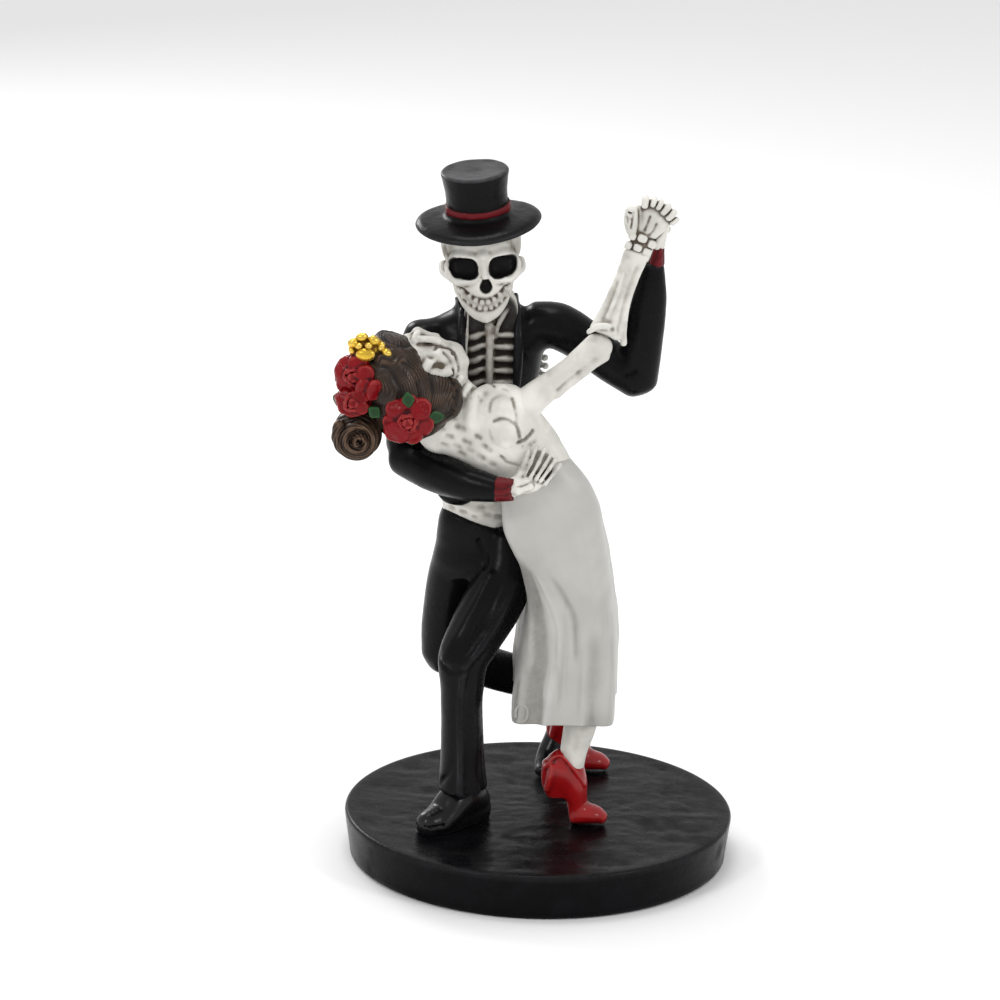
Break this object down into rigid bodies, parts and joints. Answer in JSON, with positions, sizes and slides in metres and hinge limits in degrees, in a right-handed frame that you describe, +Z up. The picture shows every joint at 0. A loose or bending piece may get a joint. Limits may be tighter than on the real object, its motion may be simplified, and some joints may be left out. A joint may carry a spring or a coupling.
{
  "type": "skeleton wedding couple figurine",
  "caption": "Cast and painted figurine of a skeleton groom in a top hat and a skeleton bride in a long dress, dancing on a round black base.",
  "frame": {"origin": "centre of the round base's underside", "axes": "+Z up through the base and the figures, -Y towards the viewer and the front of the figures, +X to the viewer's right"},
  "size_m": [0.1118, 0.108, 0.1956],
  "materials": {
    "plinth": "painted black resin, satin",
    "figures": "painted resin, bone white with a grey wash, black, red, brown and gold"
  },
  "bodies": {
    "root": {"plinth": "plinth", "dancing_couple": "figures"}
  },
  "joints": []
}
